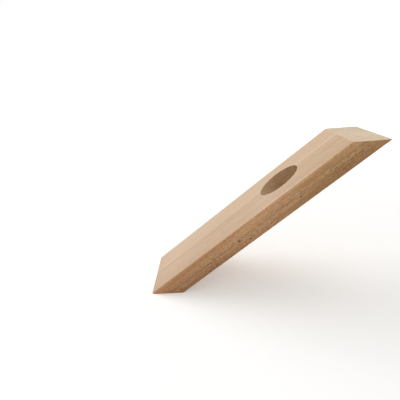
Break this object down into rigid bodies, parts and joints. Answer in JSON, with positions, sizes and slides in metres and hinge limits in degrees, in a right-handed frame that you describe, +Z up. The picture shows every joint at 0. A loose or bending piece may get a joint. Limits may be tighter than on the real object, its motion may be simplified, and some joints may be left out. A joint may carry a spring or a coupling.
{
  "type": "wine bottle holder",
  "caption": "Leaning hardwood board, sawn level at its foot, with a slanting bore that takes a wine bottle's neck, so that board and bottle balance on the foot.",
  "frame": {"origin": "centre of the foot, the level saw cut that the board stands on", "axes": "+X level, the way the board leans up to its raised end; +Y level across the board, to its rear edge; +Z up"},
  "size_m": [0.2153, 0.072, 0.1384],
  "materials": {
    "beech_front": "satin",
    "beech_rear": "satin"
  },
  "bodies": {
    "root": {"front_stave": "beech_front", "rear_stave": "beech_rear"}
  },
  "joints": []
}
